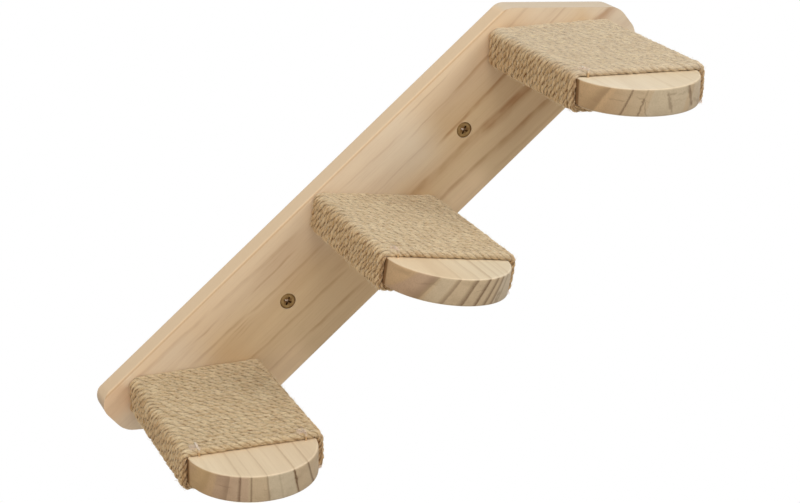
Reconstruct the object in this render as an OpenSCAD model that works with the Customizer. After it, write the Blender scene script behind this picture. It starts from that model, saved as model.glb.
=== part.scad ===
// Wall-mounted cat ladder: a sloping pine board that carries three steps wound with jute rope.
// Sizes are in millimetres. The board's back lies on the wall at y = 0, the steps reach out
// along -y and z is up. The origin is the middle of the board's back.

/* [Board] */
// Width of the plank, square to its long edges
board_w = 90; // [86:1:100]
// Thickness of the plank
board_t = 18; // [15:1:24]
// Height between the two level ends
board_h = 288; // [284:1:310]
// Slope of the ladder above level, in degrees
board_slope = 44; // [42:1:46]
// Length sawn off each pointed corner, along the long edge
tip_cut = 30; // [28:1:36]
// Corner radius where a sawn-off tip meets the long edge
tip_corner_r = 12; // [8:1:13]
// Corner radius where a sawn-off tip meets the level end
end_corner_r = 16; // [10:1:18]
// Corner radius of the two blunt corners
blunt_corner_r = 15; // [8:1:18]
// Radius of the eased long edges
board_edge_r = 2; // [1:0.5:3]

/* [Steps] */
// Width of a step
step_w = 84; // [78:1:88]
// Thickness of a step
step_t = 18; // [15:0.5:20]
// Reach of a step, from the board's face to the tip of its round nose
step_reach = 158; // [152:1:175]
// Distance from step to step along the slope
step_pitch = 169; // [165:1:172]
// Distance of the steps from the board's middle line, towards its upper left edge
step_offset = 3; // [0:0.5:4]
// Lean of the lower step off level, right side up, in degrees
lean_lower = 4; // [-5:1:5]
// Lean of the middle step off level, right side up, in degrees
lean_middle = -4; // [-5:1:5]
// Lean of the upper step off level, right side up, in degrees
lean_upper = 4; // [-5:1:5]
// Radius of a step's eased edges
step_edge_r = 1.5; // [1:0.25:2.5]

/* [Rope] */
// Thickness of the rope, drawn taut
rope_d = 4.6; // [4.4:0.1:5.2]
// Least space between two turns
rope_space = 0.5; // [0.5:0.05:0.8]
// Length that the rope covers on a step's left side, from the board's face
wound_l = 118; // [112:1:120]
// Space between the rope and the wood
rope_seat = 0.25; // [0.2:0.05:0.35]
// How much further out the lower step's last turn lies on its right side than on its left
slant_lower = 4; // [0:0.5:6]
// How much further out the middle step's last turn lies on its right side than on its left
slant_middle = 6; // [0:0.5:8]
// How much further out the upper step's last turn lies on its right side than on its left
slant_upper = 10; // [0:0.5:10]

/* [Wall screws] */
// Distance between the two wall screws along the slope
wall_screw_pitch = 169; // [160:1:176]
// Thread diameter of a wall screw
wall_screw_d = 6; // [5:0.5:6.5]
// Head diameter of a wall screw
wall_head_d = 11; // [10:0.5:13]
// Length of a wall screw
wall_screw_l = 60; // [50:5:80]

/* [Step screws] */
// Distance between the two screws that hold a step
step_screw_pitch = 48; // [40:1:52]
// Thread diameter of a step screw
step_screw_d = 4; // [3.5:0.5:5]
// Head diameter of a step screw
step_head_d = 8; // [7:0.5:10]
// Length of a step screw
step_screw_l = 45; // [40:5:60]

/* [Staples] */
// Thickness of the flat staple wire, along the crown
staple_t = 0.42; // [0.35:0.01:0.44]
// Width of the flat staple wire
staple_w = 1.25; // [1:0.05:1.5]
// Number of turns that a staple spans, counted from the rope's last turn
staple_turns = 2; // [1:1:3]
// Distance from an upper staple to the step's side
staple_inset = 7.5; // [7:0.5:12]
// Depth that a staple is driven into the wood
staple_depth = 6; // [4:0.5:7]

/* [Hidden] */
$fn = 64;

LEVELS = ["lower", "middle", "upper"];
leans = [lean_lower, lean_middle, lean_upper];
slants = [slant_lower, slant_middle, slant_upper];
staples = [["left", "right", "end"], ["left", "end"], ["left", "end"]];

pine = [0.87, 0.74, 0.56];
jute = [0.76, 0.64, 0.45];
yellow_zinc = [0.66, 0.58, 0.38];
bright_steel = [0.80, 0.80, 0.80];

overrun = 1;        // how far a cutting shape runs past what it cuts
screw_clear = 0.15; // space between a screw head and its countersink
hole_clear = 0.25;  // radial space between a thread and a clearance hole
pilot_clear = 0.1;  // radial space between a thread and its pilot hole
pilot_spare = 1;    // depth of a pilot hole past the screw's tip
slot_clear = 0.05;  // space round a staple leg in the wood
crown_clear = 0.1;  // space between a staple's crown and the rope
head_rim = 0.5;     // rim of a countersunk head, from its face to its cone
head_bevel = 0.8;   // width of the bevel round a head's face
bevel_depth = 0.3;  // depth of that bevel
head_sink = 0.3;    // depth of a head below the wood's face
recess_depth = 0.22; // depth of a cross recess, as a share of the head's diameter
recess_arm = 0.27;   // half length of a recess arm, as a share of the head's diameter
recess_width = 0.12; // width of a recess arm, as a share of the head's diameter

// Directions in the board's plane, as [x, z]: up the slope, and square to it to the upper left
along = [cos(board_slope), sin(board_slope)];
across = [-sin(board_slope), cos(board_slope)];

// The board's corners, anticlockwise from the right end of the upper level end's tip
tip_u = (board_h / 2 + board_w / 2 * along[0]) / along[1] - tip_cut;
tip_corner = tip_u * along - board_w / 2 * across;
end_corner = [(tip_u - board_h / 2 * along[1]) / along[0], board_h / 2];
blunt_u = (board_h / 2 - board_w / 2 * along[0]) / along[1];
blunt_corner = blunt_u * along + board_w / 2 * across;
half_board = [tip_corner, end_corner, blunt_corner];
board_corners = concat(half_board, -half_board);
half_radii = [tip_corner_r, end_corner_r, blunt_corner_r];
board_radii = concat(half_radii, half_radii);

// The winding: turns lie flat over the step and cross to the next turn on the underside
rope_r = rope_d / 2;
rope_sides = 6;
corner_rings = 2;
rope_flat = rope_r * cos(180 / rope_sides);
rope_lift = rope_flat + rope_seat;
rope_top = rope_lift + rope_flat;
bend_r = step_edge_r + rope_lift;
first_turn = rope_seat + rope_r;
last_turn = wound_l - rope_r;
turns = floor((last_turn - first_turn) / (rope_d + rope_space)) + 1;
turn_pitch = (last_turn - first_turn) / (turns - 1);
end_run = 2 * rope_d;
bend_x = step_w / 2 - step_edge_r;
bend_z = step_t / 2 - step_edge_r;
cross_x = bend_x - end_run;

nose_r = step_w / 2;
nose_y = step_reach - nose_r;

// The turns fan out to the right: the share by which a turn on step i lies further out at x than on the left
function fan(i, x) = 1 + slants[i] / last_turn * (x / step_w + 0.5);

// Direction of a turn on step i, as an angle off the step's width, where the turn starts at y on the left
function turn_slope(i, y) = atan(y * slants[i] / last_turn / step_w);

function unit(v) = v / norm(v);

function corner_angle(a, p, b) = acos(unit(a - p) * unit(b - p));

function corner_cuts(a, p, b, r) =
    let (cut = r / tan(corner_angle(a, p, b) / 2))
    [p + cut * unit(a - p), p + cut * unit(b - p)];

function corner_centre(a, p, b, r) =
    p + r / sin(corner_angle(a, p, b) / 2) * unit(unit(a - p) + unit(b - p));

function before(list, i) = list[(i + len(list) - 1) % len(list)];

function after(list, i) = list[(i + 1) % len(list)];

// A convex outline with a true arc at each corner
module rounded_outline(points, radii) {
    polygon([
        for (i = [0 : len(points) - 1])
            each corner_cuts(before(points, i), points[i], after(points, i), radii[i])
    ]);
    for (i = [0 : len(points) - 1])
        translate(corner_centre(before(points, i), points[i], after(points, i), radii[i]))
            circle(r = radii[i]);
}

module rounded_bar(w, t, r) {
    x = w / 2;
    y = t / 2;
    rounded_outline([[x, -y], [x, y], [-x, y], [-x, -y]], [r, r, r, r]);
}

// Moves the children from a step's own frame to its place on the board
module on_step(i) {
    place = (i - 1) * step_pitch * along + step_offset * across;
    translate([place[0], -board_t, place[1]])
        rotate([0, -leans[i], 0])
            children();
}

// Lays a shape's z axis along +y, from the wood's face at depth y
module into_wall(y) {
    translate([0, y, 0])
        rotate([-90, 0, 0])
            children();
}

// Lays a shape's z axis along -y
module out_of_wall(y) {
    translate([0, y, 0])
        rotate([90, 0, 0])
            children();
}

module at_wall_screw(side) {
    place = side * wall_screw_pitch / 2 * along;
    translate([place[0], 0, place[1]])
        children();
}

module at_step_screw(i, side) {
    on_step(i)
        translate([side * step_screw_pitch / 2, 0, 0])
            children();
}

// Hole and countersink for a screw whose head lies at z = 0 and whose tip points to +z
module screw_seat(screw_d, head_d, depth) {
    hole_r = screw_d / 2 + hole_clear;
    mouth_r = head_d / 2 + screw_clear;
    mouth_l = head_sink + head_rim;
    translate([0, 0, -overrun])
        cylinder(r = hole_r, h = depth + 2 * overrun);
    translate([0, 0, -overrun])
        cylinder(r = mouth_r, h = mouth_l + overrun);
    translate([0, 0, mouth_l])
        cylinder(r1 = mouth_r, r2 = hole_r, h = mouth_r - hole_r);
}

// Countersunk screw with a plain neck, its head at z = 0 and its tip at z = length
module screw(thread_d, head_d, length, neck_l) {
    thread_r = thread_d / 2;
    neck_r = thread_r * 0.73;
    head_r = head_d / 2;
    tip_l = thread_d;
    difference() {
        rotate_extrude()
            polygon([
                [0, 0], [head_r - head_bevel, 0], [head_r, bevel_depth], [head_r, head_rim],
                [neck_r, head_rim + head_r - neck_r],
                [neck_r, neck_l], [thread_r, neck_l],
                [thread_r, length - tip_l], [0, length]
            ]);
        for (turn = [0, 90])
            rotate([0, 0, turn + 20])
                translate([-recess_arm * head_d, -recess_width * head_d / 2, -overrun])
                    cube([
                        2 * recess_arm * head_d,
                        recess_width * head_d,
                        overrun + recess_depth * head_d
                    ]);
    }
}

module back_board() {
    color(pine)
        difference() {
            intersection() {
                out_of_wall(overrun)
                    linear_extrude(board_t + 2 * overrun)
                        rounded_outline(board_corners, board_radii);
                rotate([0, 90 - board_slope, 0])
                    linear_extrude(2 * (tip_u + overrun), center = true)
                        translate([0, -board_t / 2])
                            rounded_bar(board_w, board_t, board_edge_r);
            }
            for (side = [-1, 1])
                at_wall_screw(side)
                    into_wall(-board_t)
                        screw_seat(wall_screw_d, wall_head_d, board_t);
            for (i = [0 : len(LEVELS) - 1], side = [-1, 1])
                at_step_screw(i, side)
                    out_of_wall(board_t)
                        screw_seat(step_screw_d, step_head_d, board_t);
        }
}

module step_blank() {
    out_of_wall(0)
        linear_extrude(nose_y)
            rounded_bar(step_w, step_t, step_edge_r);
    translate([0, -nose_y, 0])
        rotate_extrude()
            intersection() {
                rounded_bar(step_w, step_t, step_edge_r);
                translate([0, -step_t])
                    square([step_w, 2 * step_t]);
            }
}

module wooden_step(i) {
    pilot_l = step_screw_l + head_sink - board_t + pilot_spare;
    color(pine)
        difference() {
            step_blank();
            for (side = [-1, 1])
                translate([side * step_screw_pitch / 2, 0, 0])
                    out_of_wall(overrun)
                        cylinder(r = step_screw_d / 2 + pilot_clear, h = pilot_l + overrun);
            for (name = staples[i])
                staple_place(i, name)
                    staple_legs(staple_span(i, name), slot_clear);
        }
}

// Each ring of the tube is [x and z of its bend's centre, direction, stretch, y]
function bend_rings(x, z, from, y) = [
    for (k = [0 : corner_rings - 1])
        [x, z, from - (k + 0.5) * 90 / corner_rings, 1 / cos(45 / corner_rings), y]
];

function turn_rings(y) = concat(
    [[-cross_x, -bend_z, 270, 1, y]],
    bend_rings(-bend_x, -bend_z, 270, y),
    bend_rings(-bend_x, bend_z, 180, y),
    bend_rings(bend_x, bend_z, 90, y),
    bend_rings(bend_x, -bend_z, 0, y),
    [[cross_x, -bend_z, 270, 1, y]]
);

rings = [for (k = [0 : turns - 1]) each turn_rings(-first_turn - k * turn_pitch)];

// A point of step i's tube: out is its height over the centre line, side its place along y
function ring_point(i, ring, out, side) =
    let (reach = (bend_r + out) * ring[3], x = ring[0] + reach * cos(ring[2]))
    [x, ring[4] * fan(i, x) + side, ring[1] + reach * sin(ring[2])];

function tube_points(i) = [
    for (ring = rings, k = [0 : rope_sides - 1])
        ring_point(i, ring, rope_r * sin(360 * k / rope_sides), rope_r * cos(360 * k / rope_sides))
];

function tube_faces() =
    let (n = rope_sides, last = (len(rings) - 1) * n)
    concat(
        [for (k = [1 : n - 2]) [0, k, k + 1]],
        [for (k = [1 : n - 2]) [last, last + k + 1, last + k]],
        [
            for (i = [0 : len(rings) - 2], k = [0 : n - 1])
                let (a = i * n + k, b = i * n + (k + 1) % n)
                each [[a, a + n, b], [b, a + n, b + n]]
        ]
    );

function distance_to(p, a, b) =
    let (d = b - a, t = max(0, min(1, (p - a) * d / (d * d))))
    norm(p - a - t * d);

// The least gap between one turn of step i's winding and the next, on the tube's own centre line
loop_rings = len(turn_rings(0));
function least_gap(i) =
    let (line = [for (ring = rings) ring_point(i, ring, 0, 0)])
    min([
        for (j = [0 : len(rings) - 1])
            for (k = [j + ceil(loop_rings / 2) : min(j + 2 * loop_rings, len(rings) - 2)])
                distance_to(line[j], line[k], line[k + 1])
    ]) - rope_d;
echo(str("Turns of rope on each step: ", turns));
for (i = [0 : len(LEVELS) - 1])
    echo(str("Least gap between the turns of the ", LEVELS[i], " winding, in mm: ", least_gap(i)));

module rope_winding(i) {
    color(jute)
        polyhedron(points = tube_points(i), faces = tube_faces(), convexity = 10);
}

// Middle of the turns that a staple spans, on the step's left side
staple_y = (staple_turns - 1) / 2 * turn_pitch - last_turn;

function staple_x(name) =
    name == "end" ? (bend_x + cross_x) / 2
    : (name == "left" ? -1 : 1) * (step_w / 2 - staple_inset);

// Distance between the legs of a staple on step i, square to the turns
function staple_span(i, name) =
    staple_turns * turn_pitch * fan(i, staple_x(name)) * cos(turn_slope(i, staple_y));

// A staple stands on the wood at z = 0, with its legs beside the turns that it spans
module staple_legs(span, clear) {
    thick = staple_t + 2 * clear;
    wide = staple_w + 2 * clear;
    for (side = [-1, 1])
        translate([-wide / 2, side * span / 2 - thick / 2, -staple_depth - clear])
            cube([wide, thick, staple_depth + rope_top + crown_clear + staple_t + clear]);
}

module staple(span) {
    crown_l = span + staple_t;
    color(bright_steel) {
        staple_legs(span, 0);
        translate([-staple_w / 2, -crown_l / 2, rope_top + crown_clear])
            cube([staple_w, crown_l, staple_t]);
    }
}

// The left and right staples hold the last turns on top, the end staple the rope's cut end below
module staple_place(i, name) {
    below = name == "end";
    x = staple_x(name);
    translate([x, staple_y * fan(i, x), (below ? -1 : 1) * step_t / 2])
        rotate([0, 0, turn_slope(i, staple_y)])
            rotate([below ? 180 : 0, 0, 0])
                children();
}

module wall_screw(side) {
    color(yellow_zinc)
        at_wall_screw(side)
            into_wall(head_sink - board_t)
                screw(wall_screw_d, wall_head_d, wall_screw_l, board_t - head_sink);
}

module step_screw(i, side) {
    color(yellow_zinc)
        at_step_screw(i, side)
            out_of_wall(board_t - head_sink)
                screw(step_screw_d, step_head_d, step_screw_l, board_t - head_sink);
}

back_board();
wall_screw(-1);  // wall_screw_lower
wall_screw(1);  // wall_screw_upper
for (i = [0 : len(LEVELS) - 1]) {
    level = LEVELS[i];
    on_step(i) wooden_step(i);
    on_step(i) rope_winding(i);
    step_screw(i, -1);
    step_screw(i, 1);
    for (name = staples[i])
        on_step(i) staple_place(i, name) staple(staple_span(i, name));
}
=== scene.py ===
"""Looks of the wall-mounted cat ladder: pine board and steps, jute rope, zinc screws and staples."""

import math
import random

import bpy
import numpy as np
from mathutils import Matrix, Vector


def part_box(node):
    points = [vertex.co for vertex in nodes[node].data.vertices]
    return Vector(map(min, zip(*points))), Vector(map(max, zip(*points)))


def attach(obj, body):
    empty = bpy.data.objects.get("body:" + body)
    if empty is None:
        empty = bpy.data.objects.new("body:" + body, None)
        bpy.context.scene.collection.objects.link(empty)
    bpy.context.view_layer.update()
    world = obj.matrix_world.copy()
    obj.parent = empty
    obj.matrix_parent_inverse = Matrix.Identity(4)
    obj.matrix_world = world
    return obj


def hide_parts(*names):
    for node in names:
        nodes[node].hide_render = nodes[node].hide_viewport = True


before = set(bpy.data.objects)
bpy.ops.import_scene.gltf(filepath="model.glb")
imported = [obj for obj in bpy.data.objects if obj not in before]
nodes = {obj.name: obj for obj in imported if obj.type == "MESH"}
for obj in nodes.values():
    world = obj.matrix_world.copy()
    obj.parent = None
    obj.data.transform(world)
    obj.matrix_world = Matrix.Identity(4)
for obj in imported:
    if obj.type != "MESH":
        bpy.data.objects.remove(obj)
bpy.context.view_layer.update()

MM = 0.001
LEVELS = ("lower", "middle", "upper")

# The board's plane: u runs up the slope, v square to it towards the upper left
SLOPE = math.radians(44)
ALONG = Vector((math.cos(SLOPE), 0, math.sin(SLOPE)))
ACROSS = Vector((-math.sin(SLOPE), 0, math.cos(SLOPE)))
BOARD_T = 18 * MM

# Steps: size, eased edges and lean, right side up
STEP_W = 84 * MM
STEP_T = 18 * MM
STEP_EDGE_R = 1.5 * MM
STEP_REACH = 158 * MM
LEANS = {"lower": 4, "middle": -4, "upper": 4}

# Rope: 23 turns of three strands over the roped length, which fan out to the right by the slant
TURNS = 23
ROPED_L = 118 * MM
ROPE_CAD_R = 2.3 * MM
ROPE_SEAT = 0.25 * MM
ROPE_SLANTS = {"lower": 4 * MM, "middle": 6 * MM, "upper": 10 * MM}
ROPE_R = 2.60 * MM
STRANDS = 3
LAY = 16 * MM
# Distance of a strand's middle from the rope's, as a share of the rope's radius
STRAND_OFFSET = 0.38
# Distance between two rings of the rope's mesh
RING_STEP = 0.8 * MM
# Height of the rope's centre line over the wood, where the rope is pressed flat
ROPE_LIFT = 0.93 * ROPE_R
# Where the rope is pressed flat on its outside and against its neighbours
ROPE_TOP = 0.97 * ROPE_R
ROPE_SIDE = 0.99 * ROPE_R


def step_frame(level):
    """A step's own frame: origin on the board's face at mid-thickness, x to its right, z up."""
    low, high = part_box(f"step_{level}")
    centre = (low + high) / 2
    lean = math.radians(LEANS[level])
    x = Vector((math.cos(lean), 0, math.sin(lean)))
    z = Vector((-math.sin(lean), 0, math.cos(lean)))
    y = Vector((0, 1, 0))
    matrix = Matrix((x, y, z)).transposed().to_4x4()
    matrix.translation = Vector((centre.x, high.y, centre.z))
    return matrix


STEP_FRAMES = {level: step_frame(level) for level in LEVELS}


class Shader:
    """A material's node tree, built by short calls. An input is a number, a tuple or a socket."""

    def __init__(self, name):
        self.material = bpy.data.materials.new(name)
        self.material.use_nodes = True
        self.tree = self.material.node_tree
        self.tree.nodes.clear()

    def node(self, kind, inputs=None, **settings):
        made = self.tree.nodes.new("ShaderNode" + kind)
        for key, value in settings.items():
            setattr(made, key, value)
        for key, value in (inputs or {}).items():
            self.feed(made.inputs[key], value)
        return made

    def feed(self, socket, value):
        if isinstance(value, bpy.types.NodeSocket):
            self.tree.links.new(value, socket)
        else:
            socket.default_value = value

    def math(self, operation, a, b=0.0, c=0.0):
        made = self.node("Math", {0: a, 1: b, 2: c}, operation=operation)
        return made.outputs[0]

    def add(self, a, b):
        return self.math("ADD", a, b)

    def times(self, a, b):
        return self.math("MULTIPLY", a, b)

    def dot(self, vector, other):
        made = self.node("VectorMath", {0: vector, 1: tuple(other)}, operation="DOT_PRODUCT")
        return made.outputs["Value"]

    def join(self, x, y, z):
        return self.node("CombineXYZ", {"X": x, "Y": y, "Z": z}).outputs[0]

    def split(self, vector):
        return self.node("SeparateXYZ", {0: vector}).outputs

    def spread(self, value, low, high, to_low=0.0, to_high=1.0, smooth=False):
        kind = "SMOOTHSTEP" if smooth else "LINEAR"
        inputs = {0: value, 1: low, 2: high, 3: to_low, 4: to_high}
        return self.node("MapRange", inputs, interpolation_type=kind).outputs[0]

    def mix(self, factor, a, b, blend="MIX"):
        made = self.node("Mix", data_type="RGBA", blend_type=blend, clamp_factor=True)
        self.feed(made.inputs[0], factor)
        self.feed(made.inputs[6], a)
        self.feed(made.inputs[7], b)
        return made.outputs[2]

    def noise(self, vector, scale, detail=2.0, roughness=0.5):
        inputs = {"Vector": vector, "Scale": scale, "Detail": detail, "Roughness": roughness}
        return self.node("TexNoise", inputs).outputs[0]

    def stretched(self, x, y, z, along, across, detail=2.0, roughness=0.5):
        """Noise that is drawn out along x: along and across are its grains per unit."""
        vector = self.join(self.times(x, along), self.times(y, across), self.times(z, across))
        return self.noise(vector, 1.0, detail, roughness)

    def finish(self, colour, roughness, height=None, bump_mm=0.1, **settings):
        """The surface: a principled shader with colour and roughness, and a bump of bump_mm at height 1."""
        shader = self.node("BsdfPrincipled", {"Base Color": colour, "Roughness": roughness})
        for key, value in settings.items():
            shader.inputs[key.replace("_", " ")].default_value = value
        if height is not None:
            bump = self.node("Bump", {"Strength": 1.0, "Distance": bump_mm * MM, "Height": height})
            self.feed(shader.inputs["Normal"], bump.outputs[0])
        output = self.node("OutputMaterial")
        self.feed(output.inputs["Surface"], shader.outputs[0])
        return self.material


def linear(red, green, blue):
    """A colour given as 0 to 255 on screen, as the shader's linear numbers."""
    def one(value):
        c = value / 255
        return c / 12.92 if c <= 0.04045 else ((c + 0.055) / 1.055) ** 2.4
    return (one(red), one(green), one(blue), 1.0)


def growth_line(s, along, across, start, end, soft, sharp, fade):
    """One growth line of the wood, 0 to 1. It runs from start to end, each (along, across) in mm, and
    darkens over the soft width before its line and lightens over the sharp width past it."""
    slope = (end[1] - start[1]) / (end[0] - start[0])
    off = s.math("MULTIPLY_ADD", along, -slope, s.math("SUBTRACT", across, start[1] - slope * start[0]))
    rise = s.spread(off, -soft, 0, smooth=True)
    fall = s.spread(off, 0, sharp, 1.0, 0.0, smooth=True)
    begin = s.spread(along, start[0] - fade, start[0] + fade, smooth=True)
    stop = s.spread(along, end[0] - fade, end[0] + fade, 1.0, 0.0, smooth=True)
    return s.times(s.times(rise, fall), s.times(begin, stop))


# Growth lines on the board's front: (start, end, soft width, sharp width, depth), as (u, v) in mm
BOARD_LINES = [
    ((-205, 38.0), (-130, 37.0), 2.5, 2.0, 0.35),
    ((-125, 36.5), (-48, 33.5), 3.5, 1.5, 0.30),
    ((-145, 27.5), (-130, 27.3), 1.0, 1.3, 0.55),
    ((-97, 23.8), (-60, 25.0), 1.2, 1.5, 0.55),
    ((-160, 16.8), (-112, 15.0), 2.4, 1.2, 0.42),
    ((-108, 14.0), (-42, 13.2), 2.0, 1.3, 0.42),
    ((-130, 11.4), (-112, 11.8), 0.9, 0.9, 0.40),
    ((-127, 9.0), (-114, 9.6), 0.9, 0.9, 0.35),
    ((-124, 6.6), (-112, 7.2), 0.9, 0.8, 0.30),
    ((-78, 8.8), (-68, 9.2), 0.6, 0.6, 0.35),
    ((-136, -12.6), (-42, -14.2), 2.4, 1.3, 0.45),
    ((-128, -29.4), (-88, -29.8), 2.2, 1.2, 0.35),
    ((-88, -29.8), (-40, -30.5), 3.0, 1.4, 0.60),
    ((-200, 24.0), (-150, 26.0), 2.0, 2.0, 0.20),
    ((60, 39.0), (102, 40.0), 1.0, 1.0, 0.35),
    ((-5, 33.5), (48, 32.0), 1.4, 1.2, 0.22),
    ((55, 25.3), (98, 27.0), 1.2, 0.8, 0.40),
    ((95, 27.0), (150, 29.6), 2.6, 1.3, 0.62),
    ((-12, 12.0), (66, 13.0), 1.2, 1.2, 0.25),
    ((68, 6.3), (98, 7.6), 2.6, 1.2, 0.85),
    ((98, 7.8), (150, 11.0), 3.4, 1.3, 0.85),
    ((165, 12.6), (200, 13.6), 1.6, 1.0, 0.40),
    ((22, -7.2), (98, -8.2), 7.5, 2.5, 0.55),
    ((92, -8.0), (175, -9.5), 9.5, 3.0, 0.95),
    ((92, -10.8), (175, -12.3), 3.0, 2.5, 0.95),
    ((175, -9.5), (225, -11.5), 8.0, 3.0, 0.80),
    ((-48, -8.0), (15, -8.0), 5.0, 3.0, 0.25),
    ((30, -25.5), (98, -26.8), 3.0, 2.0, 0.55),
    ((95, -27.0), (165, -30.0), 5.0, 2.0, 0.80),
    ((88, -39.0), (165, -41.0), 2.2, 1.6, 0.32),
    ((150, 33.0), (190, 36.0), 1.5, 1.5, 0.25),
]

# Tints in the steps' end grain
END_GOLD = linear(206, 172, 120)
END_LIGHT = linear(222, 187, 142)
END_GREY = linear(208, 192, 163)
END_ROSE = linear(192, 160, 134)
END_ASH = linear(206, 188, 160)

# Growth rings in the steps' end grain, as (x at mid-thickness in mm, soft width, sharp width, depth on
# the nose, depth on the top), tinted zones between them, as (from x, to x, colour, strength), short
# marks on the nose, as (axis, start, end, soft width, sharp width, depth), where start and end are (x, z)
# or (z, x) by the axis they run along, the top's tones at its left and right, how far a ring leans across
# the thickness, in mm per mm, and how much that lean grows with each mm of x
STEP_RINGS = {
    "upper": {
        "rings": [
            (-35.8, 5.0, 1.0, 0.42, 0.12), (-24.6, 1.2, 0.7, 0.85, 0.10), (-16.0, 0.9, 0.9, 0.30, 0.08),
            (1.6, 2.6, 2.6, 0.12, 0.12), (20.4, 2.8, 1.2, 0.12, 0.08), (33.0, 2.0, 1.5, 0.35, 0.12),
        ],
        "zones": [(-46, -33, END_LIGHT, 0.6), (-12, 15, END_GREY, 0.6), (20, 46, END_ASH, 0.6)],
        "marks": [
            ("z", (-9.0, -18.4), (2.5, -15.5), 0.9, 0.7, 0.70),
            ("z", (-9.0, -13.2), (2.5, -15.4), 0.6, 0.6, 0.50),
            ("x", (-19.5, 3.8), (-12.5, 0.8), 0.7, 0.6, 0.45),
            ("x", (-32.5, 1.4), (-26.0, 0.8), 0.6, 0.6, 0.40),
            ("z", (-7.0, 3.8), (6.5, -0.2), 2.0, 1.4, 0.50),
            ("x", (0.0, 5.0), (6.0, 5.4), 1.4, 0.9, 0.40),
            ("x", (4.0, 0.6), (14.5, 0.4), 0.9, 0.8, 0.15),
            ("x", (8.0, 4.2), (14.0, 4.6), 1.2, 1.0, 0.25),
            ("z", (-5.5, 21.4), (8.5, 17.2), 2.8, 1.4, 0.80),
            ("x", (22.0, -1.5), (31.0, -5.5), 2.4, 2.0, 0.30),
        ],
        "tones": (linear(237, 221, 193), linear(229, 211, 180)),
        "lean": 0.34,
        "spread": 0.0,
    },
    "middle": {
        "rings": [
            (-26.0, 7.0, 0.9, 0.50, 0.08), (-13.2, 3.4, 0.8, 0.62, 0.18), (-1.6, 4.4, 0.9, 0.85, 0.20),
            (7.6, 3.2, 1.0, 1.00, 0.36), (14.6, 3.2, 1.0, 0.85, 0.20), (20.2, 3.0, 0.9, 0.75, 0.15),
            (25.2, 2.0, 0.9, 0.45, 0.15),
        ],
        "zones": [
            (-46, -38, END_LIGHT, 0.3),
            (-37, -27, END_ROSE, 0.6),
            (-24, -16, END_GREY, 0.3),
            (20, 46, END_ASH, 0.8),
        ],
        "marks": [
            ("x", (-40.0, 5.6), (-34.0, 6.4), 2.6, 1.6, 0.22),
            ("x", (-30.0, 2.4), (-22.0, 3.4), 0.6, 0.5, 0.30),
            ("x", (2.0, 0.8), (9.0, 2.0), 0.6, 0.5, 0.35),
            ("z", (-8.0, 18.5), (-1.0, 22.0), 1.6, 1.0, 0.55),
        ],
        "tones": (linear(236, 213, 178), linear(237, 222, 193)),
        "lean": 0.55,
        "spread": 0.0,
    },
    "lower": {
        "rings": [
            (-37.0, 3.0, 2.0, 0.20, 0.08), (-26.4, 4.0, 0.6, 0.42, 0.08), (-19.8, 1.8, 0.8, 0.85, 0.24),
            (-13.4, 1.2, 0.6, 0.75, 0.12), (-3.2, 1.4, 0.6, 0.50, 0.26), (5.0, 1.6, 0.9, 0.18, 0.05),
            (16.2, 1.6, 0.8, 1.00, 0.42), (28.4, 1.8, 0.9, 0.90, 0.36),
        ],
        "zones": [(-42, -36, END_GOLD, 0.5), (-33, -15, END_ROSE, 0.6), (-3, 15, END_GREY, 0.7)],
        "marks": [
            ("x", (-31.0, 7.0), (-26.5, 7.6), 0.5, 0.4, 0.35),
            ("x", (-30.5, 1.2), (-25.0, 1.2), 0.5, 0.4, 0.45),
            ("x", (-6.2, -0.4), (-3.8, -0.6), 0.5, 0.4, 0.40),
            ("z", (-1.0, 16.4), (8.0, 14.5), 1.6, 1.0, 0.95),
        ],
        "tones": (linear(240, 220, 187), linear(234, 213, 181)),
        "lean": -0.10,
        "spread": -0.008,
    },
}

# Tones of the pine: the board's face, with its painted shade and painted light, its sides and ends, then
# the steps' tops and cut fronts
PINE_LIGHT = linear(236, 211, 177)
PINE_MID = linear(227, 197, 154)
PINE_LINE = linear(158, 98, 36)
PINE_SHADE = linear(176, 132, 84)
PINE_EDGE = linear(238, 212, 178)
PINE_SIDE = linear(244, 215, 177)
PINE_TOP = linear(218, 205, 183)
PINE_COOL_AND_LIGHT = linear(237, 220, 195)
PINE_CORNER_SHADE = linear(222, 160, 92)
PINE_PAINTED_LIGHT = linear(244, 213, 171)
STEP_LINE = linear(168, 132, 90)
END_LEFT = linear(205, 169, 127)
END_RIGHT = linear(203, 179, 145)
END_LINE = linear(96, 64, 32)
# Shade on the nose beside the rope
ROPE_SHADE = linear(112, 72, 30)

# Length over which a growth line fades out at its ends, and a short mark on the nose, in mm
LINE_FADE = 9.0
MARK_FADE = 1.4


def fine_grain(s, u, v, w, base, dark):
    """The quiet streaks and short flecks that all the pine shows, over the base colour."""
    broad = s.stretched(u, v, w, 0.010, 0.09, 1.0)
    streak = s.stretched(u, v, w, 0.03, 0.8, 3.0, 0.6)
    fleck = s.stretched(u, v, w, 0.16, 2.2, 2.0, 0.6)
    colour = s.mix(s.spread(broad, 0.40, 0.75, 0.0, 0.14), base, dark)
    colour = s.mix(s.spread(streak, 0.50, 0.80, 0.0, 0.14), colour, dark)
    colour = s.mix(s.spread(fleck, 0.64, 0.80, 0.0, 0.16), colour, dark)
    return colour, streak, fleck


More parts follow.
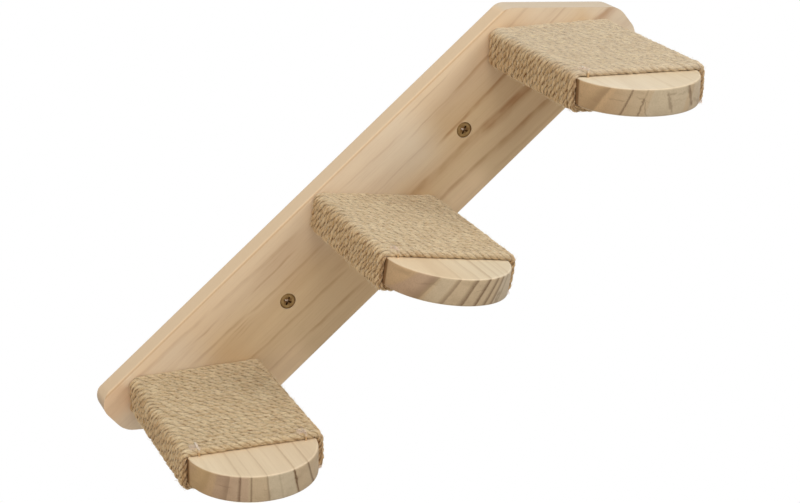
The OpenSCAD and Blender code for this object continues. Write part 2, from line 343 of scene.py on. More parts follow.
def board_wood():
    """Pine with its growth lines along the board. The lines lean through the thickness."""
    s = Shader("board_pine")
    point = s.node("TexCoord").outputs["Object"]
    u = s.dot(point, ALONG / MM)
    across = s.dot(point, ACROSS / MM)
    w = s.math("MULTIPLY_ADD", s.split(point)[1], 1 / MM, BOARD_T / MM)
    slow = s.stretched(u, across, w, 0.012, 0.02, 1.0)
    # The leaning lines' own place across the board
    v = s.add(across, s.math("MULTIPLY_ADD", w, 0.5, s.spread(slow, 0, 1, -1.6, 1.6)))
    pale = s.spread(s.add(v, s.spread(slow, 0, 1, -16, 16)), 2, 36, smooth=True)
    base = s.mix(pale, PINE_MID, PINE_LIGHT)
    # Painted shade on the board's face to the lower left of the middle and upper steps, where they cut off
    # the light, and beside the lower step's rope
    lower_step_shade = s.times(s.spread(u, -108, -68, smooth=True), s.spread(u, -20, 0, 1.0, 0.0))
    step_shade = s.math("MAXIMUM", lower_step_shade, s.spread(u, 42, 88, smooth=True))
    step_shade = s.times(step_shade, s.spread(u, 150, 185, 1.0, 0.0, smooth=True))
    step_shade = s.math("MAXIMUM", step_shade, s.spread(u, -190, -206, 0.0, 0.5, smooth=True))
    step_shade = s.times(step_shade, s.spread(v, -6, 20, 0.12, 1.0, smooth=True))
    step_shade = s.times(step_shade, s.spread(v, 30, 43, 1.0, 0.0, smooth=True))
    step_shade = s.times(step_shade, s.spread(w, 5, 14, 1.0, 0.0, smooth=True))
    base = s.mix(s.times(step_shade, 0.26), base, PINE_SHADE)
    # Paler and cooler wood round the middle step and at both ends; to the right of the middle step this is
    # also painted light that lifts the upper step's shadow
    cool_and_light = s.times(s.spread(u, -60, 0, smooth=True), s.spread(u, 48, 80, 1.0, 0.0, smooth=True))
    cool_and_light = s.math("MAXIMUM", cool_and_light, s.spread(u, 145, 180, smooth=True))
    cool_and_light = s.math("MAXIMUM", cool_and_light, s.spread(u, -135, -165, 0.0, 0.9, smooth=True))
    cool_and_light = s.times(cool_and_light, s.spread(v, -14, 14, 0.0, 0.75, smooth=True))
    cool_and_light = s.math("MAXIMUM", cool_and_light, s.spread(u, 190, 210, 0.0, 0.8, smooth=True))
    base = s.mix(cool_and_light, base, PINE_COOL_AND_LIGHT)
    # Painted light: lighter, warmer wood along the lower edge beside the middle step and round the lower
    # one, lifting the shade that the steps above cast there
    painted_light = s.times(s.spread(u, 30, 46), s.spread(u, 86, 66, smooth=True))
    painted_light = s.math("MAXIMUM", painted_light, s.spread(u, -90, -110, smooth=True))
    painted_light = s.times(painted_light, s.spread(v, -16, -36, smooth=True))
    base = s.mix(painted_light, base, PINE_PAINTED_LIGHT)
    # Painted shade at the lower end's upper corner, beside the rope
    corner_shade = s.times(s.spread(u, -194, -206, smooth=True), s.spread(v, 18, 32, 0.0, 0.35, smooth=True))
    base = s.mix(corner_shade, base, PINE_CORNER_SHADE)
    colour, streak, fleck = fine_grain(s, u, v, w, base, PINE_LINE)
    wobble = s.spread(s.stretched(u, across, w, 0.06, 0.05, 1.0), 0.2, 0.8, -0.6, 0.6)
    wavy = s.add(v, wobble)
    depth = 0.0
    for start, end, soft, sharp, strength in BOARD_LINES:
        line = growth_line(s, u, wavy, start, end, soft, sharp, LINE_FADE)
        depth = s.math("MAXIMUM", s.times(line, strength), depth)
    # The pale strip along the upper long edge
    strip = s.spread(s.math("MULTIPLY_ADD", u, 0.026, wavy), 30.6, 34.6, 0.0, 0.60, smooth=True)
    strip = s.times(strip, s.spread(u, -140, -70, 1.0, 0.3))
    strip = s.times(strip, s.spread(u, -204, -190, smooth=True))
    colour = s.mix(strip, colour, PINE_EDGE)
    patchy = s.spread(s.stretched(u, v, w, 0.07, 0.14, 2.0), 0.35, 0.65, 0.65, 1.10)
    depth = s.times(depth, patchy)
    colour = s.mix(s.times(depth, 0.66), colour, PINE_LINE)
    # The board's upper long side with its eased edge, its sawn ends and its level upper end
    normal = s.node("NewGeometry").outputs["Normal"]
    upper_side = s.spread(s.dot(normal, ACROSS), 0.25, 0.8, 0.0, 0.85, smooth=True)
    colour = s.mix(upper_side, colour, PINE_SIDE)
    # Painted shade along the eased edge between the face and the upper side, which dims the highlight it
    # catches
    off_half = s.math("ABSOLUTE", s.math("SUBTRACT", s.dot(normal, ACROSS), 0.5))
    eased = s.spread(off_half, 0.4, 0.1, 0.0, 0.50)
    colour = s.mix(eased, colour, PINE_SHADE)
    upper_end = s.spread(s.split(normal)[2], 0.8, 0.95, 0.0, 0.6, smooth=True)
    end = s.spread(s.math("ABSOLUTE", s.dot(normal, ALONG)), 0.45, 0.9, smooth=True)
    pores = s.noise(s.join(s.times(u, 0.3), v, w), 2.2, 2.0)
    cut = s.mix(s.spread(pores, 0.40, 0.75, 0.0, 0.35), END_RIGHT, END_LINE)
    colour = s.mix(s.times(end, 0.7), colour, cut)
    colour = s.mix(upper_end, colour, PINE_TOP)
    rough = s.spread(streak, 0.3, 0.7, 0.50, 0.62)
    height = s.math("MULTIPLY_ADD", depth, -0.4, s.times(fleck, 0.4))
    return s.finish(colour, rough, height, 0.10, Specular_IOR_Level=0.35)


def step_wood(level):
    """Pine with its rings across the nose. The cut front is darker and browner than the top."""
    facts = STEP_RINGS[level]
    matrix = STEP_FRAMES[level]
    right = matrix.col[0].to_3d()
    up = matrix.col[2].to_3d()
    middle = matrix.translation
    s = Shader(f"step_pine_{level}")
    point = s.node("TexCoord").outputs["Object"]
    u = s.dot(point, Vector((0, 1 / MM, 0)))
    x = s.math("SUBTRACT", s.dot(point, right / MM), middle.dot(right) / MM)
    z = s.math("SUBTRACT", s.dot(point, up / MM), middle.dot(up) / MM)
    seed = 17.0 * LEVELS.index(level)
    normal = s.node("NewGeometry").outputs["Normal"]
    cut = s.spread(s.math("ABSOLUTE", s.dot(normal, up)), 0.80, 0.40, smooth=True)
    slow = s.stretched(s.add(u, seed), x, z, 0.02, 0.05, 1.0)
    rate = s.math("MULTIPLY_ADD", x, facts["spread"], facts["lean"])
    fray = s.noise(s.join(s.times(u, 0.2), x, z), 1.6, 3.0, 0.65)
    rings = s.math("SUBTRACT", x, s.times(rate, z))
    rings = s.add(rings, s.add(s.spread(slow, 0, 1, -1.0, 1.0), s.spread(fray, 0, 1, -0.7, 0.7)))
    on_nose = 0.0
    on_top = 0.0
    for place, soft, sharp, nose_depth, top_depth in facts["rings"]:
        rise = s.spread(rings, place - soft, place, smooth=True)
        fall = s.spread(rings, place, place + sharp, 1.0, 0.0, smooth=True)
        line = s.times(rise, fall)
        on_nose = s.math("MAXIMUM", s.times(line, nose_depth), on_nose)
        on_top = s.math("MAXIMUM", s.times(line, top_depth), on_top)
    left, right_tone = facts["tones"]
    base = s.mix(s.spread(s.add(x, s.spread(slow, 0, 1, -8, 8)), -26, 24, smooth=True), left, right_tone)
    top, streak, fleck = fine_grain(s, s.add(u, seed), x, z, base, STEP_LINE)
    top = s.mix(on_top, top, STEP_LINE)
    pores = s.noise(s.join(s.times(u, 0.3), x, z), 2.4, 3.0, 0.6)
    front = s.mix(s.spread(x, -40, -18, smooth=True), END_LEFT, END_RIGHT)
    stain = s.noise(s.join(s.times(x, 0.09), seed, s.times(z, 0.12)), 1.0, 2.0)
    for start, stop, tint, strength in facts["zones"]:
        inside = s.times(
            s.spread(rings, start - 1, start + 1, smooth=True),
            s.spread(rings, stop - 1, stop + 1, 1.0, 0.0, smooth=True),
        )
        front = s.mix(s.times(inside, strength), front, tint)
    front = s.mix(s.spread(stain, 0.50, 0.80, 0.0, 0.20), front, END_LINE)
    front = s.mix(s.spread(pores, 0.45, 0.80, 0.0, 0.35), front, END_LINE)
    broken = s.spread(pores, 0.38, 0.60, 1.0, 0.55)
    front = s.mix(s.times(on_nose, broken), front, END_LINE)
    reach = s.math("MULTIPLY_ADD", s.split(point)[1], -1 / MM, middle.y / MM)
    rough_x = s.add(x, s.spread(s.noise(s.join(x, seed, z), 0.45, 2.0), 0.2, 0.8, -1.1, 1.1))
    rough_z = s.add(z, s.spread(s.noise(s.join(x, seed + 9, z), 0.30, 2.0), 0.2, 0.8, -1.1, 1.1))
    for along, start, stop, soft, sharp, depth in facts["marks"]:
        runs = (rough_x, rough_z) if along == "x" else (rough_z, rough_x)
        mark = growth_line(s, *runs, start, stop, soft, sharp, MARK_FADE)
        front = s.mix(s.times(s.times(mark, depth), broken), front, END_LINE)
    front = s.mix(s.spread(z, 2, -9, 0.0, 0.14), front, END_LINE)
    beside_rope = s.spread(reach, ROPED_L / MM + 1.2, ROPED_L / MM + 3.2, 0.75, 0.0, smooth=True)
    front = s.mix(beside_rope, front, ROPE_SHADE)
    colour = s.mix(cut, top, front)
    rough = s.math("MULTIPLY_ADD", cut, 0.15, s.spread(streak, 0.3, 0.7, 0.48, 0.58))
    height = s.math("MULTIPLY_ADD", s.times(pores, cut), 1.5, s.times(fleck, 0.3))
    return s.finish(colour, rough, height, 0.10, Specular_IOR_Level=0.35)


# Tones of the jute: its strands, the gaps with their painted shade and the hairs, worn tops, painted shade
# near the board, painted warm light on the sides and crushed fibres
JUTE_LIGHT = linear(243, 224, 186)
JUTE_MID = linear(219, 192, 149)
JUTE_DARK = linear(176, 134, 84)
JUTE_DEEP = linear(108, 68, 26)
JUTE_PALE = linear(252, 240, 212)
JUTE_BLEACHED = linear(216, 204, 186)
JUTE_SHADED = linear(180, 138, 92)
JUTE_SIDE_LIGHT_TINT = (1.08, 0.985, 0.875, 1.0)
JUTE_CRUSHED = linear(247, 229, 213)


def jute_material():
    """Jute: streaks along the fibres, a tone for each strand, painted shade in the valleys between strands
    and the grooves between turns, painted shade near the board and painted warm light on the sides.
    """
    s = Shader("jute_rope")
    place = s.node("Attribute", attribute_name="fibre").outputs["Vector"]
    valley = s.node("Attribute", attribute_name="valley").outputs["Fac"]
    tone = s.node("Attribute", attribute_name="tone").outputs["Fac"]
    groove = s.node("Attribute", attribute_name="groove").outputs["Fac"]
    up_facing = s.node("Attribute", attribute_name="up_facing").outputs["Fac"]
    x, y, z = s.split(place)
    streaks = s.stretched(x, y, z, 0.30, 1.6, 3.0, 0.65)
    hairs = s.stretched(x, y, z, 0.80, 4.0, 3.0, 0.7)
    clumps = s.stretched(x, y, z, 0.25, 0.9, 2.0)
    colour = s.mix(tone, JUTE_MID, JUTE_LIGHT)
    colour = s.mix(s.spread(clumps, 0.45, 0.75, 0.0, 0.35), colour, JUTE_DARK)
    # The streaks and the painted shade in the gaps are fainter on the tops, where the light falls straight
    # in
    contrast = s.spread(up_facing, 0, 1, 0.95, 0.65)
    colour = s.mix(s.times(s.spread(streaks, 0.46, 0.70), contrast), colour, JUTE_DARK)
    # Painted shade in the valleys between strands and in the grooves between turns, stronger on the sides
    groove_shade = s.times(groove, s.spread(up_facing, 0, 1, 0.65, 0.35))
    gap_shade = s.math("MAXIMUM", s.spread(valley, 0.55, 1.0, 0.0, 0.95, smooth=True), groove_shade)
    gap_shade = s.times(gap_shade, s.spread(clumps, 0.3, 0.6, 0.30, 1.15))
    gap_shade = s.times(gap_shade, contrast)
    colour = s.mix(gap_shade, colour, JUTE_DEEP)
    colour = s.mix(s.spread(hairs, 0.54, 0.70, 0.0, 0.80), colour, JUTE_PALE)
    colour = s.mix(s.spread(hairs, 0.44, 0.28, 0.0, 0.65), colour, JUTE_DEEP)
    side_facing = s.math("SUBTRACT", 1.0, up_facing)
    # Painted light: a warmer tint on the rope's sides, standing in for warm light falling on them
    colour = s.mix(side_facing, colour, JUTE_SIDE_LIGHT_TINT, blend="MULTIPLY")
    at = s.split(s.node("TexCoord").outputs["Object"])
    bleached = s.times(up_facing, s.spread(at[2], -0.03, 0.11, 0.0, 0.38))
    colour = s.mix(bleached, colour, JUTE_BLEACHED)
    # Painted shade on the rope's sides within 12 mm of the board
    board_shade = s.spread(at[1], -BOARD_T - 12 * MM, -BOARD_T, 0.0, 0.30, smooth=True)
    colour = s.mix(s.times(board_shade, side_facing), colour, JUTE_SHADED)
    height = s.math("MULTIPLY_ADD", streaks, 0.6, s.times(hairs, 0.4))
    gloss = {"Specular_IOR_Level": 0.2, "Sheen_Weight": 0.1, "Sheen_Roughness": 0.5}
    return s.finish(colour, 0.85, height, 0.60, **gloss)


def fuzz_material():
    """Jute of the loose fibres, paler where they are crushed or frayed."""
    s = Shader("jute_fuzz")
    point = s.node("TexCoord").outputs["Object"]
    pale = s.node("Attribute", attribute_name="pale").outputs["Fac"]
    tone = s.noise(point, 400.0, 2.0)
    colour = s.mix(s.spread(tone, 0.35, 0.65), JUTE_LIGHT, JUTE_PALE)
    colour = s.mix(pale, colour, JUTE_CRUSHED)
    return s.finish(colour, 0.8, Specular_IOR_Level=0.2)


# Tones of the screws' yellow zinc, with grime and painted shade and a painted glint, and of the staples'
# steel, with painted shade on their legs
ZINC_LIGHT = linear(146, 118, 76)
ZINC_DARK = linear(122, 92, 52)
ZINC_GRIME_AND_SHADE = linear(98, 66, 34)
ZINC_GLINT = linear(222, 198, 176)
STEEL_LIGHT = linear(240, 228, 212)
STEEL_DARK = linear(196, 182, 160)
STEEL_SHADED = linear(198, 170, 132)


def step_screw_metal():
    """Yellow zinc with faint blotches and fine scratches."""
    s = Shader("yellow_zinc")
    point = s.node("TexCoord").outputs["Object"]
    blotch = s.noise(point, 300, 3.0)
    scratch = s.noise(point, 2700, 2.0)
    colour = s.mix(s.spread(blotch, 0.35, 0.65), ZINC_LIGHT, ZINC_DARK)
    rough = s.spread(scratch, 0.3, 0.7, 0.30, 0.44)
    return s.finish(colour, rough, scratch, 0.02, Metallic=1.0)


def staple_metal(node):
    """Bright steel of a staple, with painted shade from a little below its crown to the feet of its legs,
    where they sink among the fibres.
    """
    low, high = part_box(node)
    s = Shader(f"{node}_steel")
    point = s.node("TexCoord").outputs["Object"]
    z = s.split(point)[2]
    # Painted shade on the legs, towards where they sink among the fibres
    if node.endswith("end"):
        leg_shade = s.spread(z, low.z + 1.0 * MM, low.z + 2.4 * MM)
    else:
        leg_shade = s.spread(z, high.z - 2.4 * MM, high.z - 1.0 * MM, 1.0, 0.0)
    blotch = s.noise(point, 900, 3.0)
    steel = s.mix(s.spread(blotch, 0.35, 0.65), STEEL_LIGHT, STEEL_DARK)
    colour = s.mix(leg_shade, steel, STEEL_SHADED)
    rough = s.math("MULTIPLY_ADD", leg_shade, 0.4, s.spread(blotch, 0.3, 0.7, 0.24, 0.38))
    return s.finish(colour, rough, blotch, 0.02, Metallic=0.9)


def wall_screw_metal(node):
    """Yellow zinc of a wall screw: grime and painted shade round its rim, painted shade about its recess,
    painted light in the recess and a painted glint at its middle.
    """
    low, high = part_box(node)
    centre = (low + high) / 2
    s = Shader(f"{node}_zinc")
    point = s.node("TexCoord").outputs["Object"]
    x, y, z = s.split(point)
    off_x = s.math("SUBTRACT", x, centre.x)
    off_z = s.math("SUBTRACT", z, centre.z)
    radius = s.math("SQRT", s.math("MULTIPLY_ADD", off_x, off_x, s.times(off_z, off_z)))
    radius = s.times(radius, 1 / MM)
    sunk_light = s.spread(y, low.y + 0.35 * MM, low.y + 1.2 * MM)
    blotch = s.noise(point, 500.0, 3.0)
    colour = s.mix(s.spread(blotch, 0.35, 0.65), ZINC_DARK, ZINC_LIGHT)
    # Grime and painted shade round the rim, where the countersink's shadow falls
    rim_grime_and_shade = s.spread(s.math("MULTIPLY_ADD", blotch, 0.8, radius), 4.4, 5.4, 0.0, 0.35, smooth=True)
    colour = s.mix(rim_grime_and_shade, colour, ZINC_GRIME_AND_SHADE)
    # Painted shade about the recess
    recess_shade = s.spread(s.math("MULTIPLY_ADD", blotch, 1.2, radius), 4.2, 2.6, 0.0, 0.75, smooth=True)
    colour = s.mix(recess_shade, colour, ZINC_GRIME_AND_SHADE)
    # Painted light in the sunk recess, which lifts its shade
    colour = s.mix(s.times(sunk_light, 0.5), colour, ZINC_LIGHT)
    # A painted glint at the middle of the recess
    colour = s.mix(s.spread(radius, 1.3, 0.7, smooth=True), colour, ZINC_GLINT)
    rough = s.spread(blotch, 0.3, 0.7, 0.32, 0.50)
    return s.finish(colour, rough, blotch, 0.04, Metallic=0.9)


def path_line(points, outward, start, end, out):
    """Adds a stretch of the rope's centre line. start and end are (x, y, z), eased along y."""
    length = math.hypot(end[0] - start[0], end[2] - start[2])
    count = max(2, round(length / RING_STEP))
    for i in range(count):
        t = i / count
        ease = t * t * (3 - 2 * t)
        x = start[0] + (end[0] - start[0]) * t
        y = start[1] + (end[1] - start[1]) * ease
        z = start[2] + (end[2] - start[2]) * t
        points.append((x, y, z))
        outward.append(out)


def path_corner(points, outward, x, z, radius, start, y):
    """Adds a quarter turn over a step's edge, clockwise from the start angle in degrees."""
    count = max(3, round(radius * math.pi / 2 / RING_STEP))
    for i in range(count):
        angle = math.radians(start - 90 * i / count)
        out = (math.cos(angle), 0, math.sin(angle))
        points.append((x + radius * out[0], y, z + radius * out[2]))
        outward.append(out)


def winding_path(slant, seed):
    """The rope's centre line in a step's own frame, with its outward directions. Turns lie flat over
    top and sides, cross to the next turn on the underside and fan out to the right by the slant."""
    edge_x = STEP_W / 2 - STEP_EDGE_R
    edge_z = STEP_T / 2 - STEP_EDGE_R
    radius = STEP_EDGE_R + ROPE_LIFT
    top = edge_z + radius
    side = edge_x + radius
    cross_x = edge_x - 4 * ROPE_CAD_R
    first = ROPE_SEAT + ROPE_CAD_R
    last = ROPED_L - ROPE_CAD_R
    pitch = (last - first) / (TURNS - 1)
    wobble = random.Random(seed)
    points = []
    outward = []
    for k in range(TURNS):
        y = -first - k * pitch + wobble.uniform(-0.15, 0.15) * MM
        path_line(points, outward, (-cross_x, y, -top), (-edge_x, y, -top), (0, 0, -1))
        path_corner(points, outward, -edge_x, -edge_z, radius, 270, y)
        path_line(points, outward, (-side, y, -edge_z), (-side, y, edge_z), (-1, 0, 0))
        path_corner(points, outward, -edge_x, edge_z, radius, 180, y)
        path_line(points, outward, (-edge_x, y, top), (edge_x, y, top), (0, 0, 1))
        path_corner(points, outward, edge_x, edge_z, radius, 90, y)
        path_line(points, outward, (side, y, edge_z), (side, y, -edge_z), (1, 0, 0))
        path_corner(points, outward, edge_x, -edge_z, radius, 0, y)
        path_line(points, outward, (edge_x, y, -top), (cross_x, y, -top), (0, 0, -1))
        if k < TURNS - 1:
            path_line(points, outward, (cross_x, y, -top), (-cross_x, y - pitch, -top), (0, 0, -1))
    points.append((cross_x, y, -top))
    outward.append((0, 0, -1))
    points = np.array(points)
    points[:, 1] *= 1 + slant / last * (points[:, 0] / STEP_W + 0.5)
    # Past the straight part of the step, the rope follows the round nose inwards
    nose_y = STEP_REACH - STEP_W / 2
    past = np.clip(-points[:, 1] - nose_y, 0, None)
    inset = STEP_W / 2 - np.sqrt((STEP_W / 2) ** 2 - past ** 2)
    points[:, 0] -= inset * points[:, 0] / side
    return points, np.array(outward)


def smooth_noise(count, period, seed, size):
    """A slowly changing random line of count values between -size and size."""
    rng = np.random.default_rng(seed)
    knots = rng.uniform(-size, size, int(count / period) + 4)
    at = np.arange(count) / period
    i = at.astype(int)
    t = at - i
    ease = t * t * (3 - 2 * t)
    return knots[i] * (1 - ease) + knots[i + 1] * ease


# Angles of a strand's five edges round the rope, from the strand's middle
LOBE_ANGLES = np.radians([-60, -36, -12, 12, 36])


def set_attribute(mesh, name, kind, values):
    """Gives a mesh's points an attribute for its material to read."""
    attribute = mesh.attributes.new(name, kind, "POINT")
    key = "vector" if kind == "FLOAT_VECTOR" else "value"
    attribute.data.foreach_set(key, np.asarray(values, np.float32).ravel())


def add_mesh(name, points, faces, matrix, material, smooth=False):
    """A new object in the scene, whose points are moved by the matrix."""
    mesh = bpy.data.meshes.new(name)
    mesh.from_pydata(points, [], faces)
    mesh.transform(matrix)
    mesh.polygons.foreach_set("use_smooth", np.full(len(mesh.polygons), smooth))
    mesh.materials.append(material)
    mesh.update()
    made = bpy.data.objects.new(name, mesh)
    bpy.context.scene.collection.objects.link(made)
    return made


def rope_mesh(level, material, seed):
    """A three-strand twisted rope along the winding, as one closed tube whose edges follow the strands."""
    centre, out = winding_path(ROPE_SLANTS[level], seed)
    count = len(centre)
    tangent = np.gradient(centre, axis=0)
    tangent /= np.linalg.norm(tangent, axis=1)[:, None]
    out = out - (out * tangent).sum(1)[:, None] * tangent
    out /= np.linalg.norm(out, axis=1)[:, None]
    sideways = np.cross(tangent, out)
    step = np.linalg.norm(np.diff(centre, axis=0), axis=1)
    distance = np.concatenate([[0], np.cumsum(step)])
    twist = 2 * math.pi * distance / LAY + smooth_noise(count, 30, seed, 1.5)
    swell = 1 + smooth_noise(count, 22, seed + 1, 0.04)
    centre = centre + out * smooth_noise(count, 14, seed + 2, 0.18 * MM)[:, None]
    centre = centre + sideways * smooth_noise(count, 12, seed + 3, 0.28 * MM)[:, None]

    lobe = STRAND_OFFSET * np.cos(LOBE_ANGLES)
    lobe = lobe + np.sqrt((1 - STRAND_OFFSET) ** 2 - (STRAND_OFFSET * np.sin(LOBE_ANGLES)) ** 2)
    base = np.concatenate([LOBE_ANGLES + 2 * math.pi * k / STRANDS for k in range(STRANDS)])
    sides = len(base)
    # Use has worn the rope flatter on the steps' tops than on their sides
    up_facing = np.clip(out[:, 2], 0, 1) ** 2
    profile = 1 - (1 - np.tile(lobe, (count, STRANDS))) * (1.15 - 0.45 * up_facing)[:, None]
    for k in range(STRANDS):
        strand = smooth_noise(count, 8, seed + 10 + k, 0.11)
        profile[:, k * len(lobe):(k + 1) * len(lobe)] += strand[:, None]
    rng = np.random.default_rng(seed + 40)
    profile += rng.normal(0, 0.045, profile.shape)
    angle = twist[:, None] + base[None, :]
    radius = ROPE_R * profile * swell[:, None]
    # The rope is pressed flat where it lies on the wood and against its neighbours
    height = np.clip(radius * np.cos(angle), -ROPE_LIFT, ROPE_TOP)
    reach = np.clip(radius * np.sin(angle), -ROPE_SIDE, ROPE_SIDE)
    raised = out[:, None, :] * height[..., None]
    shifted = sideways[:, None, :] * reach[..., None]
    points = centre[:, None, :] + raised + shifted

    ring = np.arange(count - 1)[:, None] * sides
    k = np.arange(sides)[None, :]
    after = (k + 1) % sides
    quads = np.stack([ring + k, ring + sides + k, ring + sides + after, ring + after], -1).reshape(-1, 4)
    last = (count - 1) * sides
    faces = quads.tolist() + [list(range(sides)), list(range(last, last + sides))[::-1]]
    points = points.reshape(-1, 3).tolist()
    rope = add_mesh(f"jute_rope_{level}", points, faces, STEP_FRAMES[level], material, smooth=True)
    fibre_angle = base[None, :] + 0.8 * twist[:, None]
    along = np.repeat(distance[:, None], sides, 1) / MM + seed * 40
    fibre = np.stack([along, 2.5 * np.cos(fibre_angle), 2.5 * np.sin(fibre_angle)], -1)
    valley = np.tile(np.abs(LOBE_ANGLES) / math.radians(60), (count, STRANDS))
    groove = np.clip((np.abs(np.sin(angle)) - 0.70) / 0.28, 0, 1)
    tones = [smooth_noise(count, 16, seed + 20 + k, 0.4) + 0.5 for k in range(STRANDS)]
    tone = np.concatenate([np.repeat(t[:, None], len(lobe), 1) for t in tones], 1)
    set_attribute(rope.data, "fibre", "FLOAT_VECTOR", fibre)
    set_attribute(rope.data, "valley", "FLOAT", valley)
    set_attribute(rope.data, "groove", "FLOAT", groove)
    set_attribute(rope.data, "up_facing", "FLOAT", np.repeat(up_facing[:, None], sides, 1))
    set_attribute(rope.data, "tone", "FLOAT", tone)
    return rope, centre, out, sideways


# Loose fibres: how many there are on a winding, in a frayed end and at a staple, and how thick they are
FUZZ_COUNT = 4800
FRAY_COUNT = 110
CRUSHED_COUNT = 75
FUZZ_R = 0.08 * MM
TUFT_R = 0.13 * MM
# How far a crushed or frayed fibre bends off its direction, as a share of its length
TUFT_LIFT = 0.3
# Frayed fibres below a step's corners: half extent, place outside the step's side, drop below the wood
# at the right and at the left, and place along the step at the right, as a share of the last turn's
FRAY_SPREAD = np.full(3, 1.6 * MM)
FRAY_OUT = 1.6 * MM
FRAY_DROP_RIGHT = 2.0 * MM
FRAY_DROP_LEFT = 1.4 * MM
FRAY_AHEAD = 1.008
# Crushed fibres at an upper staple: half extents, shift off the staple, rise over the rope, direction
CRUSHED_SPREAD = np.array([2.8, 3.0, 0.5]) * MM
CRUSHED_SHIFT = np.array([2.0, 1.0]) * MM
CRUSHED_RISE = 0.05 * ROPE_R
CRUSHED_AIM = np.array([-0.5, -1.0, 0.0])
# Rings in the mesh of one fibre
FUZZ_STATIONS = 4


def add_fibre(points, faces, start, along, away, length, lift, curl, thick):
    """One loose fibre: a thin three-sided tapering curl that leaves the surface at its start."""
    side = np.cross(along, away)
    first = len(points)
    for j in range(FUZZ_STATIONS):
        t = j / (FUZZ_STATIONS - 1)
        spot = start + length * (along * t + away * lift * t * t + side * curl * t * t * 0.5)
        r = thick * (1 - 0.7 * t)
        for m in range(3):
            a = 2 * math.pi * m / 3
            points.append(spot + r * (math.cos(a) * away + math.sin(a) * side))
    for j in range(FUZZ_STATIONS - 1):
        for m in range(3):
            a = first + j * 3 + m
            b = first + j * 3 + (m + 1) % 3
            faces.append((a, b, b + 3, a + 3))
    end = first + (FUZZ_STATIONS - 1) * 3
    faces.append((first + 2, first + 1, first))
    faces.append((end, end + 1, end + 2))


def add_tuft(points, faces, rng, place, spread, along, count):
    """Short pale fibres round a place. spread is their half extent and along their main direction."""
    for _ in range(count):
        aim = along + rng.uniform(-0.8, 0.8, 3)
        aim /= np.linalg.norm(aim)
        away = np.cross(aim, rng.uniform(-1, 1, 3))
        away /= np.linalg.norm(away)
        start = place + rng.uniform(-1, 1, 3) * spread
        length = rng.uniform(0.8, 2.4) * MM
        curl = rng.uniform(-1, 1)
        add_fibre(points, faces, start, aim, away, length, TUFT_LIFT, curl, TUFT_R)


def fuzz_mesh(level, material, centre, out, sideways, seed):
    """Loose fibres all over the winding, crushed ones at its staples, frayed ones at its lower corners."""
    rng = np.random.default_rng(seed)
    points = []
    faces = []
    for _ in range(FUZZ_COUNT):
        i = rng.integers(5, len(centre) - 6)
        angle = rng.normal(0, 0.7)
        away = out[i] * math.cos(angle) + sideways[i] * math.sin(angle)
        along = centre[i + 1] - centre[i]
        along = along / np.linalg.norm(along) * rng.choice([-1, 1])
        start = centre[i] + away * ROPE_LIFT
        length = rng.uniform(1.0, 4.5) * MM
        thick = FUZZ_R * rng.uniform(0.6, 1.4)
        lift = rng.uniform(0.04, 0.38)
        curl = rng.uniform(-1, 1)
        add_fibre(points, faces, start, along, away, length, lift, curl, thick)
    loose = len(points)
    # The cut end frays below the right corner at the nose, and the last turn a little below the left one
    front = centre[-1][1]
    down = np.array([0, 0, -1.0])
    side = STEP_W / 2 + FRAY_OUT
    below = -STEP_T / 2
    right_tip = np.array([side, front * FRAY_AHEAD, below - FRAY_DROP_RIGHT])
    left_tip = np.array([-side, -ROPED_L + ROPE_CAD_R, below - FRAY_DROP_LEFT])
    add_tuft(points, faces, rng, right_tip, FRAY_SPREAD, down, FRAY_COUNT)
    add_tuft(points, faces, rng, left_tip, FRAY_SPREAD, down, FRAY_COUNT // 2)
    to_step = STEP_FRAMES[level].inverted()
    for name in ("left", "right"):
        node = f"staple_{level}_{name}"
        if node in nodes:
            low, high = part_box(node)
            place = np.array(to_step @ ((low + high) / 2))
            place[2] = STEP_T / 2 + ROPE_LIFT + ROPE_TOP + CRUSHED_RISE
            place[:2] -= CRUSHED_SHIFT
            add_tuft(points, faces, rng, place, CRUSHED_SPREAD, CRUSHED_AIM, CRUSHED_COUNT)
    hairs = add_mesh(f"jute_fuzz_{level}", [tuple(p) for p in points], faces, STEP_FRAMES[level], material)
    set_attribute(hairs.data, "pale", "FLOAT", np.arange(len(points)) >= loose)
    return hairs


def dress(node, material):
    """Gives a CAD node its material."""
    piece = nodes[node]
    for held in piece.material_slots:
        held.material = material


# Seeds of the random draws: the first rope's, the step to the next rope's, and the first fibres'
ROPE_SEED = 100
ROPE_SEED_STEP = 50
FUZZ_SEED = 900


def add_ropes():
    """Twisted ropes in place of the plain windings, with their loose fibres."""
    jute = jute_material()
    fuzz = fuzz_material()
    for number, level in enumerate(LEVELS):
        rope, centre, out, sideways = rope_mesh(level, jute, ROPE_SEED + number * ROPE_SEED_STEP)
        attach(rope, "root")
        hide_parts(f"rope_{level}")
        hairs = fuzz_mesh(level, fuzz, centre, out, sideways, FUZZ_SEED + number)
        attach(hairs, "root")


def dress_cad():
    """Materials for the board, the steps, the screws and the staples."""
    dress("back_board", board_wood())
    for level in LEVELS:
        dress(f"step_{level}", step_wood(level))
    zinc = step_screw_metal()
    for name in nodes:
        if name.startswith("wall_screw"):
            dress(name, wall_screw_metal(name))
        if name.startswith("step_screw"):
            dress(name, zinc)
        if name.startswith("staple"):
            dress(name, staple_metal(name))


# The photograph's camera: place, angles and focal length on a sensor 36 mm wide
CAMERA_AT = Vector((-490.48, -1116.02, 391.41)) * MM
CAMERA_AZIMUTH = math.radians(24.94)
CAMERA_DOWN = math.radians(19.09)
CAMERA_ROLL = math.radians(4.945)
CAMERA_LENS = 82.92
CAMERA_SENSOR = 36


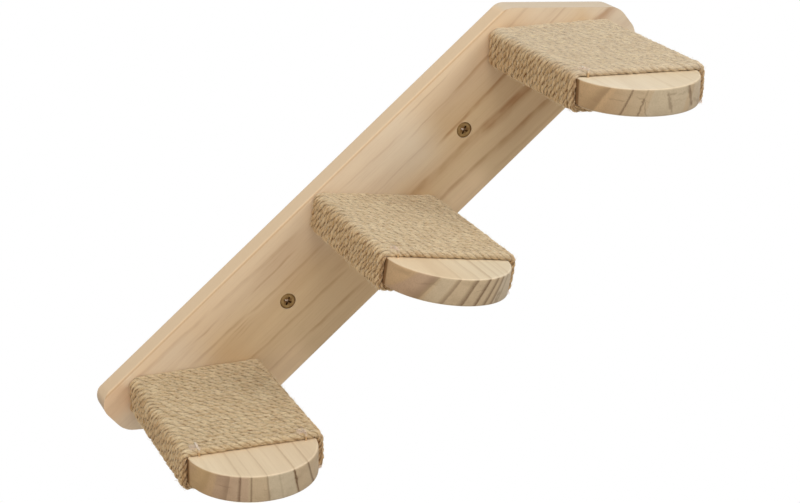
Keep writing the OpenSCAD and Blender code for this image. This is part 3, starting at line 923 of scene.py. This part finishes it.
def add_camera():
    """The photograph's camera: turned to the right, tilted down and rolled a little."""
    data = bpy.data.cameras.new("camera")
    data.sensor_fit = "HORIZONTAL"
    data.sensor_width = CAMERA_SENSOR
    data.lens = CAMERA_LENS
    data.clip_start = 0.05
    data.clip_end = 50
    camera = bpy.data.objects.new("camera", data)
    bpy.context.scene.collection.objects.link(camera)
    turn = Matrix.Rotation(-CAMERA_AZIMUTH, 4, "Z")
    tilt = Matrix.Rotation(math.radians(90) - CAMERA_DOWN, 4, "X")
    roll = Matrix.Rotation(CAMERA_ROLL, 4, "Z")
    camera.matrix_world = Matrix.Translation(CAMERA_AT) @ turn @ tilt @ roll
    bpy.context.scene.camera = camera


# Strength at which a plain surface or the world shows as white
WHITE = 1.0


def white_where_seen(s, shader):
    """Plain white to the camera, in reflections and through glass; the given shader to all other light."""
    path = s.node("LightPath").outputs
    seen = s.math("MAXIMUM", path["Is Camera Ray"], path["Is Glossy Ray"])
    seen = s.math("MAXIMUM", seen, path["Is Transmission Ray"])
    white = s.node("Emission", {"Color": (1, 1, 1, 1), "Strength": WHITE})
    return s.node("MixShader", {0: seen, 1: shader, 2: white.outputs[0]}).outputs[0]


# The floor lies so low that no view from below has it in the way
FLOOR_Z = -2300 * MM
FLOOR_HALF = 6.0
FLOOR_TONE = 0.95


def add_stage():
    """A plain pale floor far below the ladder."""
    mesh = bpy.data.meshes.new("floor")
    h = FLOOR_HALF
    mesh.from_pydata([(-h, -h, 0), (h, -h, 0), (h, h, 0), (-h, h, 0)], [], [(0, 1, 2, 3)])
    floor = bpy.data.objects.new("floor", mesh)
    floor.location.z = FLOOR_Z
    bpy.context.scene.collection.objects.link(floor)
    s = Shader("floor_white")
    plain = s.node("BsdfDiffuse", {"Color": (FLOOR_TONE, FLOOR_TONE, FLOOR_TONE, 1)})
    shown = white_where_seen(s, plain.outputs[0])
    output = s.node("OutputMaterial")
    s.feed(output.inputs["Surface"], shown)
    mesh.materials.append(s.material)


# Strength of the world's light on the ladder
WORLD_LIGHT = 0.36


def add_world():
    """A weak even light on the ladder that looks white to the camera and in reflections."""
    world = bpy.data.worlds.new("studio")
    bpy.context.scene.world = world
    world.use_nodes = True
    tree = world.node_tree
    tree.nodes.clear()
    path = tree.nodes.new("ShaderNodeLightPath")
    seen = tree.nodes.new("ShaderNodeMath")
    seen.operation = "MAXIMUM"
    tree.links.new(path.outputs["Is Camera Ray"], seen.inputs[0])
    tree.links.new(path.outputs["Is Glossy Ray"], seen.inputs[1])
    strength = tree.nodes.new("ShaderNodeMapRange")
    strength.inputs[3].default_value = WORLD_LIGHT
    strength.inputs[4].default_value = WHITE
    tree.links.new(seen.outputs[0], strength.inputs[0])
    background = tree.nodes.new("ShaderNodeBackground")
    background.inputs[0].default_value = (1, 1, 1, 1)
    tree.links.new(strength.outputs[0], background.inputs[1])
    output = tree.nodes.new("ShaderNodeOutputWorld")
    tree.links.new(background.outputs[0], output.inputs[0])


# Colours of the lamps
NEUTRAL_LIGHT = (1.0, 0.98, 0.95)
WARM_LIGHT = (1.0, 0.90, 0.74)


def add_lamp(name, place, size, power, colour):
    """A round soft lamp that faces the ladder's middle."""
    data = bpy.data.lights.new(name, "AREA")
    data.color = colour
    data.shape = "DISK"
    data.size = size
    data.energy = power
    lamp = bpy.data.objects.new(name, data)
    lamp.location = place
    lamp.rotation_mode = "QUATERNION"
    lamp.rotation_quaternion = (-Vector(place)).to_track_quat("-Z", "Y")
    bpy.context.scene.collection.objects.link(lamp)


def add_lights():
    """A lamp overhead, one at the right that lets each step shade the board below, and two fill lamps."""
    add_lamp("overhead", (-0.10, -0.80, 1.70), 1.3, 14.0, NEUTRAL_LIGHT)
    add_lamp("right", (1.20, -1.60, 1.60), 0.8, 15.0, NEUTRAL_LIGHT)
    add_lamp("left", (-1.5, -1.0, -0.40), 1.2, 6.0, WARM_LIGHT)
    add_lamp("front", (-0.4, -2.4, 0.4), 1.4, 4.5, NEUTRAL_LIGHT)


add_camera()
dress_cad()
add_ropes()
add_stage()
add_world()
add_lights()
bpy.context.scene.view_settings.view_transform = "Standard"
